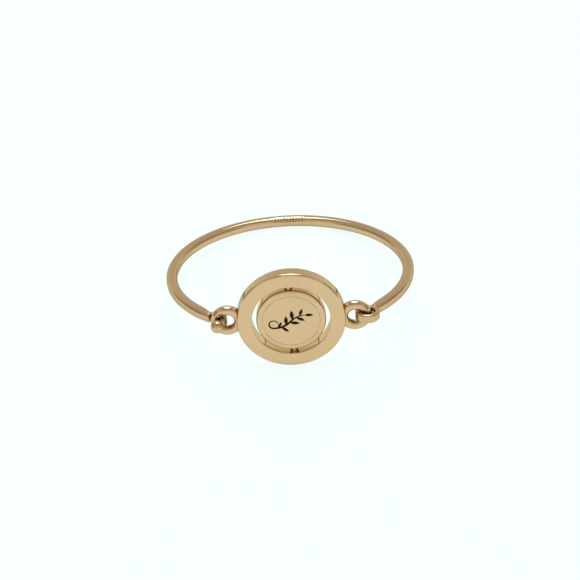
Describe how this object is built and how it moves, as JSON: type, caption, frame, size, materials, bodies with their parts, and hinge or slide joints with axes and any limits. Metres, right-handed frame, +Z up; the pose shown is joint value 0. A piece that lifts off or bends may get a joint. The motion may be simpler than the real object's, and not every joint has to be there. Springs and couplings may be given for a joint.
{
  "type": "charm bangle",
  "caption": "Sprung wire hoop bangle hooked at the front to a round charm, whose inner disc spins on two pins inside a ring frame.",
  "frame": {"origin": "on the floor under the middle of the outline, with the bangle lying on its side", "axes": "+X to the wearer's view right along the charm's two loops, -Y forward through the charm's face, +Z up"},
  "size_m": [0.0618, 0.0586, 0.0257],
  "materials": {
    "gold_wire": "polished gold plate",
    "gold_charm": "polished gold plate",
    "gold_disc": "polished gold plate",
    "gold_pin": "polished gold plate",
    "black_enamel": "black fill in the engraved lines"
  },
  "bodies": {
    "hoop": {"hoop": "gold_wire"},
    "charm": {"charm_frame": "gold_charm", "pivot_pin_top": "gold_pin", "pivot_pin_bottom": "gold_pin"},
    "spinner": {"spinner_disc": "gold_disc", "engraving_fill": "black_enamel"}
  },
  "joints": [
    {"name": "charm_rock", "type": "hinge", "parent": "hoop", "child": "charm", "pos_m": [0, -0.02487, 0.01284], "axis": [1, 0, 0], "range_deg": [-19, 9]},
    {"name": "disc_spin", "type": "hinge", "parent": "charm", "child": "spinner", "pos_m": [0, -0.02487, 0.01284], "axis": [-0.0436, 0.1218, 0.9916], "continuous": true}
  ]
}
